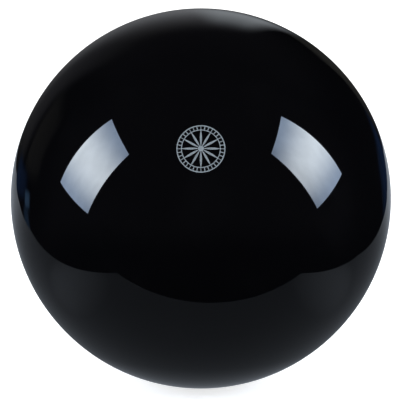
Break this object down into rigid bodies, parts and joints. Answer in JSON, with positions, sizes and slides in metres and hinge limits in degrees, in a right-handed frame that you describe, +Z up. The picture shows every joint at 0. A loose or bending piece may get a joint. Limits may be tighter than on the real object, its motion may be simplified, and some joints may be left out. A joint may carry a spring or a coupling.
{
  "type": "rhythmic gymnastics ball",
  "caption": "Inflated glossy black ball for rhythmic gymnastics, with a bladder, a plugged needle valve and a printed emblem.",
  "frame": {"origin": "centre of the ball", "axes": "+Y along the valve's axis, out of the ball at the valve; +Z up with the emblem above the equator on the -Y side; +X to the right as the emblem is faced"},
  "size_m": [0.19, 0.1898, 0.19],
  "materials": {
    "gloss_black_vinyl": "gloss",
    "bladder_rubber": "matte",
    "black_rubber": "matte",
    "tan_rubber": "satin",
    "white_plastic": "satin",
    "silver_ink": "satin"
  },
  "bodies": {
    "ball": {"outer_cover": "gloss_black_vinyl", "inner_bladder": "bladder_rubber", "valve_housing": "black_rubber", "valve_core": "tan_rubber", "valve_patch": "bladder_rubber", "balance_pad": "black_rubber", "printed_emblem": "silver_ink"},
    "plug": {"valve_plug": "white_plastic"}
  },
  "joints": [
    {"name": "plug_pull", "type": "slide", "parent": "ball", "child": "plug", "axis": [0, 1, 0], "range_m": [0, 0.02]}
  ]
}
